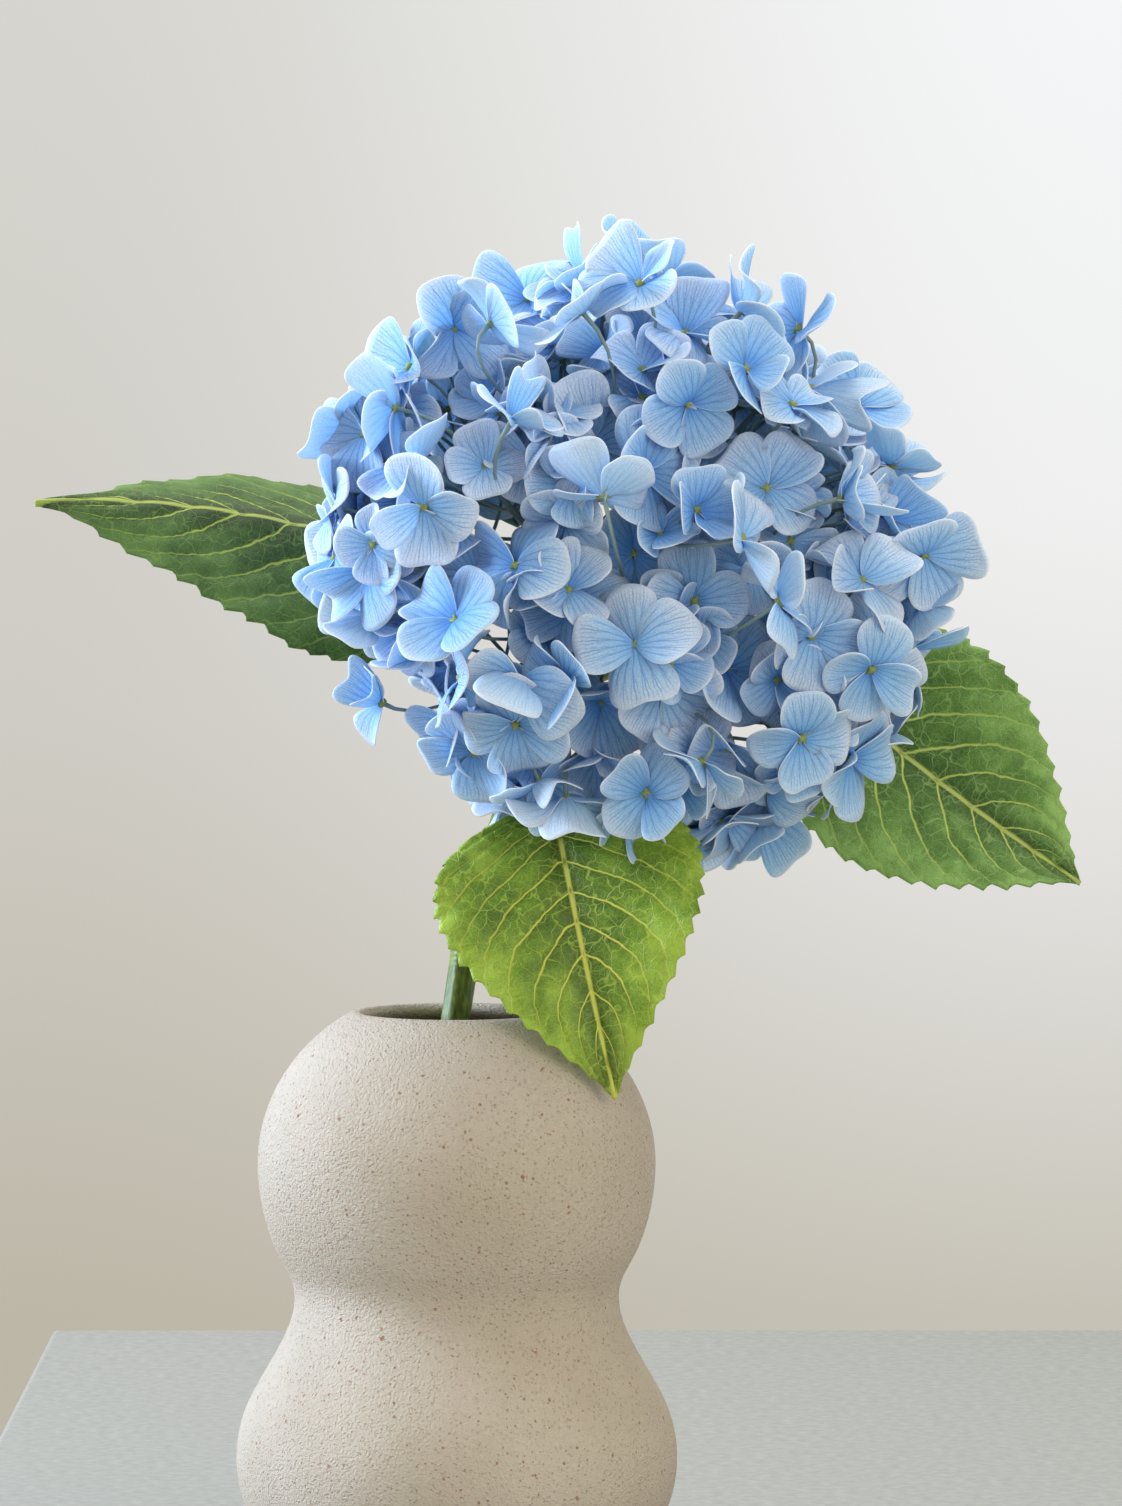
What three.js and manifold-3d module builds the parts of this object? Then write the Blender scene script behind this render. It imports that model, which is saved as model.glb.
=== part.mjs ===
// A mophead hydrangea on a leafy stem, standing in a two-bulb stoneware vase.
// Millimetres, +Z up. The origin is the centre of the vase's foot, and -Y is the front.
// The head is grown by rule: its florets are placed over an oval, then pushed apart until none touch.
import * as THREE from "three";
import { mergeVertices } from "three/addons/utils/BufferGeometryUtils.js";
import Module from "manifold-3d";

const wasm = await Module();
wasm.setup();

const vec = (x, y, z) => new THREE.Vector3(x, y, z);
const radians = THREE.MathUtils.degToRad;
const GAP = 0.35; // clearance between pieces that meet

// ---- Driving dimensions ----

const VASE = {
  height: 168,
  wall: 4.5,
  floor: 6,
  lower: { radius: 63.5, z: 39, half: 49.2 },
  waist: { radius: 46.6, z: 85.3 },
  upper: { radius: 57.2, z: 124, above: 51.5, below: 59.5 },
  mouth: 26,
  lip: 2.2,
};

const STEM = {
  radius: 4,
  // From the vase's floor, out past the back of the mouth, to the knob that bears the head.
  route: [
    vec(-24, -12, 7.9),
    vec(-11, 5, 90),
    vec(0, 20.2, 168),
    vec(3, 23.2, 184),
    vec(20, 30, 238),
    vec(40, 34, 274),
  ],
  joints: [184, 243, 259], // heights of the swollen joints that leaves grow from
  knob: 6,
};

const HEAD = {
  centre: vec(50, -2, 297),
  faces: vec(0.06, -0.88, 0.47), // the way the whole head looks
  long: 85, // half-axes of the oval that the florets' eyes lie on
  short: 76,
  deep: 60,
  lean: radians(27), // the oval's long axis dips to the right
  edge: radians(116), // how far round from there the head is filled
  branches: 9,
  sprigs: 38,
  perSprig: 3, // florets on a sprig
  innerFrom: 0.3, // a sprig that looks forwards by more than this bears a fourth one, further in
};

const FLORET = {
  petal: 17, // mean length of a petal, from the eye to the tip
  spread: 0.16, // share that petals vary in length
  notch: 0.5, // how deep the outline runs in between two petals
  eye: 1.7, // height of the eye over the petals' joint
  back: 0.9,
  sides: 16,
};

// The green stalks inside the head, from the knob outwards.
const STALKS = {
  base: { radius: 1.5, sides: 5 },
  fork: 2,
  twig: { radius: 1.05, sides: 4 },
  sprigFork: 1.5,
  pedicel: { radius: 0.9, sides: 3 },
  forkAt: 0.34, // shares of the way from the knob to the florets
  sprigForkAt: 0.58,
};

const LEAF = { thick: 0.9, rows: 22, columns: 4, tooth: 1.6, petiole: 1.9 };

const LEAVES = [
  {
    name: "leaf_left",
    joint: 259,
    midrib: [vec(8, 64, 288), vec(-54, 64, 315), vec(-124, 42, 314)],
    bow: vec(22, 54, 268),
    faces: vec(0, -0.67, 0.74),
    half: 38,
    fold: radians(-26),
  },
  {
    name: "leaf_right",
    joint: 259,
    midrib: [vec(96, 46, 267), vec(150, 36, 222), vec(181, 24, 203)],
    bow: vec(64, 46, 270),
    faces: vec(0.08, -0.96, 0.26),
    half: 38,
    fold: radians(12),
  },
  {
    name: "leaf_front",
    joint: 243,
    midrib: [vec(28, -14, 227), vec(34, -38, 197), vec(45.5, -38, 145.5)],
    bow: vec(22, 6, 228),
    faces: vec(-0.1, -0.92, 0.38),
    half: 39,
    fold: radians(10),
  },
];

// ---- Solids ----

// A repeatable series of numbers from 0 to 1, so that the flower grows the same way each time.
let seed = 91;
function random() {
  seed = (seed * 16807) % 2147483647;
  return seed / 2147483647;
}

function solidOf(geometry) {
  const bare = geometry.index ? geometry.toNonIndexed() : geometry.clone();
  for (const name of Object.keys(bare.attributes)) {
    if (name !== "position") bare.deleteAttribute(name);
  }
  const merged = mergeVertices(bare, 1e-4);
  return new wasm.Manifold(
    new wasm.Mesh({
      numProp: 3,
      vertProperties: new Float32Array(merged.attributes.position.array),
      triVerts: new Uint32Array(merged.index.array),
    }),
  );
}

function geometryOf(solid) {
  const mesh = solid.getMesh();
  const places = new Float32Array(mesh.numVert * 3);
  for (let i = 0; i < mesh.numVert; i++) {
    places.set(mesh.vertProperties.subarray(i * mesh.numProp, i * mesh.numProp + 3), i * 3);
  }
  return new THREE.BufferGeometry()
    .setAttribute("position", new THREE.BufferAttribute(places, 3))
    .setIndex(new THREE.BufferAttribute(new Uint32Array(mesh.triVerts), 1));
}

const joined = (geometries) =>
  geometryOf(geometries.map(solidOf).reduce((whole, part) => whole.add(part)));

// Moves every vertex of a geometry to where place(x, y, z) says.
function reshape(geometry, place) {
  const at = geometry.attributes.position;
  for (let i = 0; i < at.count; i++) {
    at.setXYZ(i, ...place(at.getX(i), at.getY(i), at.getZ(i)).toArray());
  }
  return geometry;
}

// A round stalk of changing radius: a capped cylinder with its rings moved onto a curve.
function stalk(curve, radiusAt, sides, steps) {
  const frames = curve.computeFrenetFrames(steps);
  const cylinder = new THREE.CylinderGeometry(1, 1, 1, sides, steps);
  return reshape(cylinder, (x, y, z) => {
    const along = y + 0.5;
    const step = Math.round(along * steps);
    const radius = radiusAt(along);
    return curve
      .getPointAt(along)
      .addScaledVector(frames.normals[step], x * radius)
      .addScaledVector(frames.binormals[step], -z * radius);
  });
}

// A straight stalk between two points, its sides lined up the same way each time.
function twig(from, to, radius, sides) {
  const way = to.clone().sub(from);
  const cylinder = new THREE.CylinderGeometry(radius, radius, way.length(), sides);
  cylinder.translate(0, way.length() / 2, 0);
  const turn = new THREE.Quaternion().setFromUnitVectors(vec(0, 1, 0), way.normalize());
  return cylinder.applyQuaternion(turn).translate(from.x, from.y, from.z);
}

// ---- Vase: one thrown shell, two bulbs with a waist between and a small open mouth ----

// One wall of the shell, from the foot up to the mouth, standing in from the outside by inset.
function wall(path, inset) {
  const { lower, waist, upper } = VASE;
  const low = (angle) => [
    (lower.radius - inset) * Math.cos(angle),
    lower.z + (lower.half - inset) * Math.sin(angle),
  ];
  const high = (angle) => [
    (upper.radius - inset) * Math.cos(angle),
    upper.z + (upper.below - inset) * Math.sin(angle),
  ];
  const leaves = radians(22); // where the lower bulb turns in to the waist
  const meets = radians(-24); // where the waist turns out to the upper bulb
  const bottom = inset ? VASE.floor : 0;
  const start = Math.asin((bottom - lower.z) / (lower.half - inset));
  const end = Math.asin((VASE.height - VASE.lip - inset - upper.z) / (upper.above - inset));
  path.lineTo(...low(start));
  path.absellipse(0, lower.z, lower.radius - inset, lower.half - inset, start, leaves);
  const [lowR, lowZ] = low(leaves);
  const neck = waist.radius - inset;
  path.bezierCurveTo(lowR - 5.1, lowZ + 9.7, neck, waist.z - 9, neck, waist.z);
  const [highR, highZ] = high(meets);
  path.bezierCurveTo(neck, waist.z + 6, highR - 2.4, highZ - 5.5, highR, highZ);
  path.absellipse(0, upper.z, upper.radius - inset, upper.below - inset, meets, 0);
  path.absellipse(0, upper.z, upper.radius - inset, upper.above - inset, 0, end);
}

function vase() {
  const outside = new THREE.Path().moveTo(0, 0);
  wall(outside, 0);
  const inside = new THREE.Path().moveTo(0, VASE.floor);
  wall(inside, VASE.wall);
  const crest = new THREE.Vector2(VASE.mouth + VASE.lip, VASE.height);
  const throat = new THREE.Vector2(VASE.mouth, VASE.height - VASE.lip);
  const profile = [
    ...outside.getPoints(2),
    crest,
    throat,
    ...inside.getPoints(2).reverse(),
  ];
  return new THREE.LatheGeometry(profile, 32).rotateX(Math.PI / 2);
}

// ---- Stem ----

const stemLine = new THREE.CatmullRomCurve3(STEM.route, false, "centripetal");

// The point of the stem's centre line at a height.
function stemAt(height) {
  let low = 0;
  let high = 1;
  for (let i = 0; i < 40; i++) {
    const middle = (low + high) / 2;
    if (stemLine.getPointAt(middle).z < height) low = middle;
    else high = middle;
  }
  return stemLine.getPointAt(low);
}

function stem() {
  const swelling = (z) =>
    STEM.joints.reduce((most, joint) => Math.max(most, Math.exp(-(((z - joint) / 4) ** 2))), 0);
  const radiusAt = (t) => STEM.radius * (1 + 0.14 * swelling(stemLine.getPointAt(t).z));
  const top = new THREE.IcosahedronGeometry(STEM.knob, 1);
  const { x, y, z } = STEM.route.at(-1);
  return joined([stalk(stemLine, radiusAt, 8, 26), top.translate(x, y, z)]);
}

// ---- Leaves: a toothed blade, folded along its midrib, on a stalk that runs on as the midrib ----

// Half the width of a blade, as a share of its widest, at t from its base to its tip.
function outline(t) {
  const rise = 0.62;
  const fall = 1.25;
  const widest = rise / (rise + fall);
  return (t / widest) ** rise * ((1 - t) / (1 - widest)) ** fall;
}

function leafFrame(leaf, t) {
  const midrib = new THREE.QuadraticBezierCurve3(...leaf.midrib);
  const along = midrib.getTangent(t);
  const side = along.clone().cross(leaf.faces).normalize();
  return { at: midrib.getPoint(t), along, side, up: side.clone().cross(along) };
}

// A point of a blade: t from base to tip, s from -1 to 1 across, h above the middle of its thickness.
function leafPoint(leaf, t, s, h, tooth = 0) {
  const { at, along, side, up } = leafFrame(leaf, t);
  const reach = Math.max(leaf.half * outline(t) + tooth * Math.abs(s), 0.7);
  const rise = Math.abs(s) * reach * Math.sin(leaf.fold);
  return at
    .addScaledVector(side, s * reach * Math.cos(leaf.fold))
    .addScaledVector(up, rise + h)
    .addScaledVector(along, Math.max(tooth, 0) * Math.abs(s));
}

// The line that a leaf's stalk follows from the stem, and on under the blade as its midrib.
function petioleLine(leaf) {
  const root = stemAt(leaf.joint);
  const along = stemAt(leaf.joint + 1).sub(root).normalize();
  const out = leaf.bow.clone().sub(root);
  out.addScaledVector(along, -out.dot(along)).normalize();
  root.addScaledVector(out, STEM.radius * 1.14 + LEAF.petiole + GAP);
  const under = (t) => leafPoint(leaf, t, 0, -LEAF.thick);
  return new THREE.CatmullRomCurve3([root, leaf.bow, under(0.02), under(0.3), under(0.55)]);
}

function leaf(shape) {
  const slab = new THREE.BoxGeometry(2, 1, LEAF.thick, LEAF.columns, LEAF.rows, 1);
  const blade = reshape(slab, (s, y, h) => {
    const row = Math.round((y + 0.5) * LEAF.rows);
    const t = 0.025 + (0.965 * row) / LEAF.rows;
    const plain = row < 2 || row > LEAF.rows - 3;
    return leafPoint(shape, t, s, h, plain ? 0 : LEAF.tooth * (row % 2 ? 1 : -1));
  });
  const petiole = stalk(petioleLine(shape), (t) => LEAF.petiole * (1 - 0.62 * t), 6, 16);
  return joined([blade, petiole]);
}

// ---- Head: branches from the knob bear sprigs, and each sprig bears three or four florets ----

const knob = STEM.route.at(-1);

// Spreads count directions evenly over the head, outwards from its face to its edge.
function spreadOver(count) {
  const golden = Math.PI * (3 - Math.sqrt(5));
  const turn = new THREE.Quaternion().setFromUnitVectors(vec(0, 0, 1), HEAD.faces.clone().normalize());
  return Array.from({ length: count }, (_, i) => {
    const height = 1 - ((1 - Math.cos(HEAD.edge)) * (i + 0.5)) / count;
    const ring = Math.sqrt(1 - height * height);
    const angle = i * golden;
    return vec(ring * Math.cos(angle), ring * Math.sin(angle), height).applyQuaternion(turn);
  });
}

const longWay = vec(Math.cos(HEAD.lean), 0, -Math.sin(HEAD.lean));
const shortWay = vec(Math.sin(HEAD.lean), 0, Math.cos(HEAD.lean));
const deepWay = vec(0, 1, 0);

// How full the head is in a direction: it swells at the left and below, and dips at the lower left.
function fullness(direction) {
  const swell = 0.1 * Math.max(0, direction.dot(vec(-0.98, 0, 0.1))) ** 8;
  const dip = 0.28 * Math.max(0, direction.dot(vec(-0.87, 0, -0.49))) ** 10;
  const hang = 0.13 * Math.max(0, -direction.z);
  return 1 + swell + hang - dip;
}

// The point of the head's oval in a direction, at a share of the way out to the florets' eyes.
function onHead(direction, share) {
  const scale = share * fullness(direction);
  return HEAD.centre
    .clone()
    .addScaledVector(longWay, scale * HEAD.long * direction.dot(longWay))
    .addScaledVector(shortWay, scale * HEAD.short * direction.dot(shortWay))
    .addScaledVector(deepWay, scale * HEAD.deep * direction.dot(deepWay));
}

// The way that the head's surface faces in a direction.
function outwards(direction) {
  return vec(0, 0, 0)
    .addScaledVector(longWay, direction.dot(longWay) / HEAD.long)
    .addScaledVector(shortWay, direction.dot(shortWay) / HEAD.short)
    .addScaledVector(deepWay, direction.dot(deepWay) / HEAD.deep)
    .normalize();
}

// A vector at right angles to another.
const across = (v) => vec(v.y - v.z, v.z - v.x, v.x - v.y + 0.3).cross(v).normalize();

// The florets as they would like to stand: where, which way each faces, and how its petals are sized.
function buds() {
  return spreadOver(HEAD.sprigs).map((direction) => {
    const side = across(direction);
    const start = random() * Math.PI * 2;
    const inner = direction.dot(HEAD.faces) > HEAD.innerFrom ? 1 : 0;
    const florets = Array.from({ length: HEAD.perSprig + inner }, (_, i) => {
      const deep = i === HEAD.perSprig;
      const apart = radians(deep ? 5 * random() : 13 + 3 * random());
      const turn = start + ((i + 0.35 * random()) / HEAD.perSprig) * Math.PI * 2;
      const way = side.clone().applyAxisAngle(direction, turn);
      const out = direction.clone().multiplyScalar(Math.cos(apart)).addScaledVector(way, Math.sin(apart));
      const home = onHead(out, deep ? 0.68 + 0.08 * random() : 0.86 + 0.17 * random());
      const tilt = across(out).applyAxisAngle(out, random() * Math.PI * 2);
      const wish = outwards(out).applyAxisAngle(tilt, radians(4 + 30 * random()));
      const size = FLORET.petal * (1 + FLORET.spread * (random() * 1.6 - 0.8));
      return {
        out,
        home,
        wish,
        at: home.clone(),
        faces: wish.clone(),
        top: across(wish).applyAxisAngle(wish, random() * Math.PI * 2),
        petals: Array.from({ length: 4 }, () => size * (1 + FLORET.spread * (random() - 0.5))),
        cup: 0.1 + 0.22 * random(),
      };
    });
    const mean = florets.reduce((sum, f) => sum.add(f.home), vec(0, 0, 0)).divideScalar(florets.length);
    const sprig = { direction, florets, mean, tip: knob.clone().lerp(mean, STALKS.sprigForkAt) };
    for (const floret of florets) floret.tip = sprig.tip;
    return sprig;
  });
}

// How far a floret's rim is from its eye, turned so many petals round from the first one's tip.
function reachOf(floret, turn) {
  const whole = ((turn % 4) + 4) % 4;
  const off = Math.abs(whole - Math.round(whole)) * 2;
  return floret.petals[Math.round(whole) % 4] * (1 - FLORET.notch * off ** 3);
}

// The point of a floret's dish at a share of the way from its eye to its rim.
function petalPoint(floret, share, turn) {
  const out = share * reachOf(floret, turn);
  const way = floret.top.clone().applyAxisAngle(floret.faces, (turn * Math.PI) / 2);
  return floret.at
    .clone()
    .addScaledVector(way, out)
    .addScaledVector(floret.faces, floret.cup * out);
}

// How a point stands to a floret: how far over its dish, how far in from its rim, and the way out.
function standing(floret, point) {
  const from = point.clone().sub(floret.at);
  const height = from.dot(floret.faces);
  from.addScaledVector(floret.faces, -height);
  const out = Math.max(from.length(), 1e-6);
  const side = floret.faces.clone().cross(floret.top);
  const reach = reachOf(floret, Math.atan2(from.dot(side), from.dot(floret.top)) / (Math.PI / 2));
  const depth = Math.max(0, 1 - out / reach);
  return { over: height - floret.cup * out, inside: reach - out, depth, way: from.divideScalar(out) };
}

// How far apart the settled florets stand, and how briskly they move there.
const SETTLE = {
  rounds: 520,
  still: 364, // from this round on, nothing pulls them back to where they would like to be
  pull: 0.08,
  give: 0.55,
  arm: 110, // the larger, the less a floret turns when it is pushed at its rim
  turn: 0.15, // the most that a floret turns in a round
  clear: 1.6,
  rim: 1.4,
  stalk: 2,
  leaf: 4,
  near: 38, // florets further apart than this can't touch
  nearLeaf: 26,
};

// The push, if any, that takes a point clear of a floret that is under it (level 1) or over it
// (level -1), by so much over and so much beside, whichever way is the shorter.
function petalPush(floret, point, level, clear, rim) {
  const { over, inside, depth, way } = standing(floret, point);
  const body = level > 0 ? FLORET.eye : FLORET.back;
  const short = clear + body * depth - level * over;
  const aside = inside + rim;
  if (aside < 0 || short <= 0) return null;
  return aside < short ? way.multiplyScalar(aside) : floret.faces.clone().multiplyScalar(level * short);
}

// The push that takes a point of a stalk out from between another floret's petals.
function stalkPush(floret, point) {
  const { over, inside, way } = standing(floret, point);
  if (Math.abs(over) > 2 * SETTLE.stalk || inside < -SETTLE.stalk) return null;
  return way.multiplyScalar(inside + SETTLE.stalk);
}

// The push that takes one point as far as reach from another.
function pointPush(point, other, reach) {
  const apart = point.clone().sub(other);
  const short = reach - apart.length();
  return short > 0 ? apart.setLength(short) : null;
}

function shove(floret, point, push, share) {
  if (!push) return;
  floret.push.addScaledVector(push, share);
  floret.twist.add(point.clone().sub(floret.at).cross(push).multiplyScalar(share));
  floret.hits += 1;
}

// Points on the leaves and their stalks, which the florets keep off.
function leafPoints() {
  const points = [];
  for (const shape of LEAVES) {
    points.push(...petioleLine(shape).getPoints(20));
    for (let t = 0.05; t < 1; t += 0.06) {
      for (let s = -1; s <= 1; s += 0.25) points.push(leafPoint(shape, t, s, 0));
    }
  }
  return points;
}

// Each two florets that may meet, with level 1 where the first is the further out, or else -1.
function neighbours(florets) {
  return florets.flatMap((a, i) =>
    florets
      .slice(i + 1)
      .filter((b) => a.at.distanceTo(b.at) < 1.35 * SETTLE.near)
      .map((b) => ({ a, b, level: a.at.clone().sub(b.at).dot(a.out.clone().add(b.out)) > 0 ? 1 : -1 })),
  );
}

// Presses floret a's petals and stalk against floret b, and b against a as much the other way.
function press(a, b, level) {
  const meet = (point, push) => {
    shove(a, point, push, 0.5);
    shove(b, point, push, -0.5);
  };
  for (const point of a.skin) meet(point, petalPush(b, point, level, SETTLE.clear, SETTLE.rim));
  for (const point of a.stalk) {
    meet(point, stalkPush(b, point));
    if (a.tip === b.tip) continue;
    for (const other of b.stalk) meet(point, pointPush(point, other, 1.6 * SETTLE.stalk));
  }
}

function pressOnLeaf(floret, point) {
  for (const green of floret.stalk) shove(floret, green, pointPush(green, point, SETTLE.leaf), 1);
  const apart = point.clone().sub(floret.at);
  if (apart.length() > SETTLE.nearLeaf) return;
  const level = floret.out.dot(apart) > 0 ? 1 : -1;
  const { leaf: clear } = SETTLE;
  shove(floret, point, petalPush(floret, point, level, clear + FLORET.eye, clear), -1);
}

// Moves and turns a floret as it was pushed, and some way back towards where it would like to be.
function yieldTo(floret, pull) {
  const { at, faces, top, twist } = floret;
  const give = SETTLE.give / Math.sqrt(floret.hits + 1);
  at.addScaledVector(floret.push, give);
  at.addScaledVector(floret.home.clone().sub(at), pull);
  twist.multiplyScalar(give / SETTLE.arm).addScaledVector(faces.clone().cross(floret.wish), pull);
  const angle = Math.min(twist.length(), SETTLE.turn);
  if (angle === 0) return;
  twist.normalize();
  faces.applyAxisAngle(twist, angle).normalize();
  top.applyAxisAngle(twist, angle);
  top.addScaledVector(faces, -top.dot(faces)).normalize();
}

// Lets the florets push each other aside until none touch, as they do when a head opens.
function settle(florets) {
  const leaves = leafPoints();
  const pairs = neighbours(florets);
  const rings = [[0, 1], [0.55, 8], [1, 16]];
  for (let round = 0; round < SETTLE.rounds; round++) {
    for (const floret of florets) {
      floret.skin = rings.flatMap(([share, count]) =>
        Array.from({ length: count }, (_, i) => petalPoint(floret, share, (i * 4) / count)),
      );
      floret.stalk = [0.08, 0.2, 0.32, 0.44, 0.56, 0.68].map((share) =>
        floret.at.clone().lerp(floret.tip, share),
      );
      floret.push = vec(0, 0, 0);
      floret.twist = vec(0, 0, 0);
      floret.hits = 0;
    }
    for (const { a, b, level } of pairs) {
      if (a.at.distanceTo(b.at) > SETTLE.near) continue;
      press(a, b, level);
      press(b, a, -level);
    }
    const pull = SETTLE.pull * Math.max(0, 1 - round / SETTLE.still);
    for (const floret of florets) {
      for (const point of leaves) pressOnLeaf(floret, point);
      yieldTo(floret, pull);
    }
  }
}

// A floret: four petals in one lobed, dished piece, thin at its rim, with the eye standing at its centre.
function disc(floret) {
  const profile = [
    new THREE.Vector2(0, -FLORET.back),
    new THREE.Vector2(1, 0),
    new THREE.Vector2(0, FLORET.eye),
  ];
  return reshape(new THREE.LatheGeometry(profile, FLORET.sides), (x, y, z) => {
    const share = Math.min(1, Math.hypot(x, z));
    if (share < 0.5) return floret.at.clone().addScaledVector(floret.faces, y);
    return petalPoint(floret, 1, Math.atan2(-z, x) / (Math.PI / 2));
  });
}

// A sprig: a small fork with three or four stalks, and a floret on each.
function sprigSolid(sprig) {
  const { sprigFork, pedicel } = STALKS;
  const parts = [new THREE.OctahedronGeometry(sprigFork).translate(...sprig.tip.toArray())];
  for (const floret of sprig.florets) {
    parts.push(twig(sprig.tip, floret.at, pedicel.radius, pedicel.sides));
    parts.push(disc(floret));
  }
  return joined(parts);
}

// Shares the sprigs out between the branches, each to the one that grows its way.
function gather(sprigs) {
  const middles = spreadOver(HEAD.branches);
  const branches = middles.map((direction) => ({ direction, sprigs: [] }));
  for (const sprig of sprigs) {
    const nearest = branches.reduce((best, branch) =>
      branch.direction.dot(sprig.direction) > best.direction.dot(sprig.direction) ? branch : best,
    );
    nearest.sprigs.push(sprig);
  }
  for (const branch of branches) {
    const mean = branch.sprigs
      .reduce((sum, sprig) => sum.add(sprig.mean), vec(0, 0, 0))
      .divideScalar(branch.sprigs.length);
    branch.fork = knob.clone().lerp(mean, STALKS.forkAt);
  }
  return branches;
}

// A branch: a short stalk that starts just off the knob, and from its fork one twig to each sprig.
function branchSolid(branch) {
  const { base, fork, twig: twigs, sprigFork } = STALKS;
  const way = branch.fork.clone().sub(knob).normalize();
  const root = knob.clone().addScaledVector(way, STEM.knob + base.radius / 2);
  const parts = [
    twig(root, branch.fork, base.radius, base.sides),
    new THREE.OctahedronGeometry(fork).translate(...branch.fork.toArray()),
  ];
  for (const sprig of branch.sprigs) {
    const run = sprig.tip.clone().sub(branch.fork);
    const end = branch.fork.clone().addScaledVector(run, 1 - (sprigFork + GAP) / run.length());
    parts.push(twig(branch.fork, end, twigs.radius, twigs.sides));
  }
  return joined(parts);
}

// ---- The whole ----

const flower = new THREE.Group();

function add(name, geometry, color, roughness) {
  const material = new THREE.MeshStandardMaterial({ color, roughness, metalness: 0 });
  const mesh = new THREE.Mesh(geometry, material);
  mesh.name = name;
  flower.add(mesh);
}

add("vase", vase(), 0xcfc6b4, 0.85);
add("stem", stem(), 0x55701f, 0.5);
for (const shape of LEAVES) add(shape.name, leaf(shape), 0x4f7a35, 0.55);

const sprigs = buds();
const branches = gather(sprigs);
settle(sprigs.flatMap((sprig) => sprig.florets));
branches.forEach((branch, i) => add(`branch_${i + 1}`, branchSolid(branch), 0x4c6a2a, 0.55));
sprigs.forEach((sprig, i) => {
  add(`sprig_${String(i + 1).padStart(2, "0")}`, sprigSolid(sprig), 0x8fb4df, 0.6);
});

export default flower;
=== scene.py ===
import math
import random

import bmesh
import bpy
import numpy as np
from mathutils import Matrix, Vector


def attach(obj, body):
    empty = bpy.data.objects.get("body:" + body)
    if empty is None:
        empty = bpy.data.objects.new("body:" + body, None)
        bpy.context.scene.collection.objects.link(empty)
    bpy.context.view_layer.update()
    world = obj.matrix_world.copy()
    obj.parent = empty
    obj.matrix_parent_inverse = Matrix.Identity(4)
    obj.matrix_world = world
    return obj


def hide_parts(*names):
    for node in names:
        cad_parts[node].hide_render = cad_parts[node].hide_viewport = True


# A blue mophead hydrangea on a leafy stem, standing in a speckled stoneware vase of two bulbs. The
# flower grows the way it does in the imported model: every floret's eye, face and petal tips are read
# from its sprig's solid, and the real petals and stalks are modelled in those places.

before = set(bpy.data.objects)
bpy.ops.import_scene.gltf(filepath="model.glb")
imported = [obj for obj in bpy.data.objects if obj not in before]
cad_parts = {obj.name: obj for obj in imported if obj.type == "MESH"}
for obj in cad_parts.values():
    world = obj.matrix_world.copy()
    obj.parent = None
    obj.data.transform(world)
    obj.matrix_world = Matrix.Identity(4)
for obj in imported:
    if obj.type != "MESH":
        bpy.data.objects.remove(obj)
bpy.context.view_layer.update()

# ---- The setting --------------------------------------------------------------------------------
# A pale stone table top that ends a little way behind the vase, in a room with one big soft window
# light from the left and pale walls that send the rest of the light back from all round.


def linear(code):
    """An sRGB hex colour as Blender's linear one."""
    parts = [int(code[i:i + 2], 16) / 255 for i in (1, 3, 5)]
    return tuple(c / 12.92 if c <= 0.04045 else ((c + 0.055) / 1.055) ** 2.4 for c in parts) + (1.0,)


def add(tree, kind, inputs=None, stops=None, **settings):
    """Adds a shader node: its settings, its inputs (values, or sockets to link) and a ramp's stops."""
    made = tree.nodes.new("ShaderNode" + kind)
    for name, value in settings.items():
        setattr(made, name, value)
    for name, value in (inputs or {}).items():
        if isinstance(value, bpy.types.NodeSocket):
            tree.links.new(value, made.inputs[name])
        else:
            made.inputs[name].default_value = value
    for i, (place, colour) in enumerate(stops or []):
        stop = made.color_ramp.elements[i] if i < 2 else made.color_ramp.elements.new(place)
        stop.position = place
        stop.color = linear(colour) if isinstance(colour, str) else (colour,) * 3 + (1,)
    return made


def new_material(name):
    """A material with a Principled shader: the material, its node tree and the shader."""
    made = bpy.data.materials.new(name)
    made.use_nodes = True
    return made, made.node_tree, made.node_tree.nodes["Principled BSDF"]


def deselect():
    """Leaves nothing selected."""
    for thing in bpy.context.selected_objects:
        thing.select_set(False)


TABLE = {"left": -0.155, "right": 1.3, "front": -1.6, "back": 0.59, "thick": 0.03}

deselect()
bpy.ops.mesh.primitive_cube_add(size=1)
table = bpy.context.object
table.name = "table_top"
table.data.transform(
    Matrix.Translation((
        (TABLE["left"] + TABLE["right"]) / 2,
        (TABLE["front"] + TABLE["back"]) / 2,
        -TABLE["thick"] / 2,
    ))
    @ Matrix.Diagonal((TABLE["right"] - TABLE["left"], TABLE["back"] - TABLE["front"], TABLE["thick"], 1))
)
bevel = table.modifiers.new("eased_edge", "BEVEL")
bevel.width = 0.002
bevel.segments = 3

stone, tree, shader = new_material("honed_pale_stone")
where = add(tree, "TexCoord").outputs["Object"]
grain = add(tree, "TexNoise", {"Vector": where, "Scale": 260.0, "Detail": 3.0})
colour = add(tree, "ValToRGB", {"Fac": grain.outputs["Fac"]}, stops=[(0.35, "#95958d"), (0.7, "#a4a49b")])
tree.links.new(colour.outputs["Color"], shader.inputs["Base Color"])
shader.inputs["Roughness"].default_value = 0.55
table.data.materials.append(stone)

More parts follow.
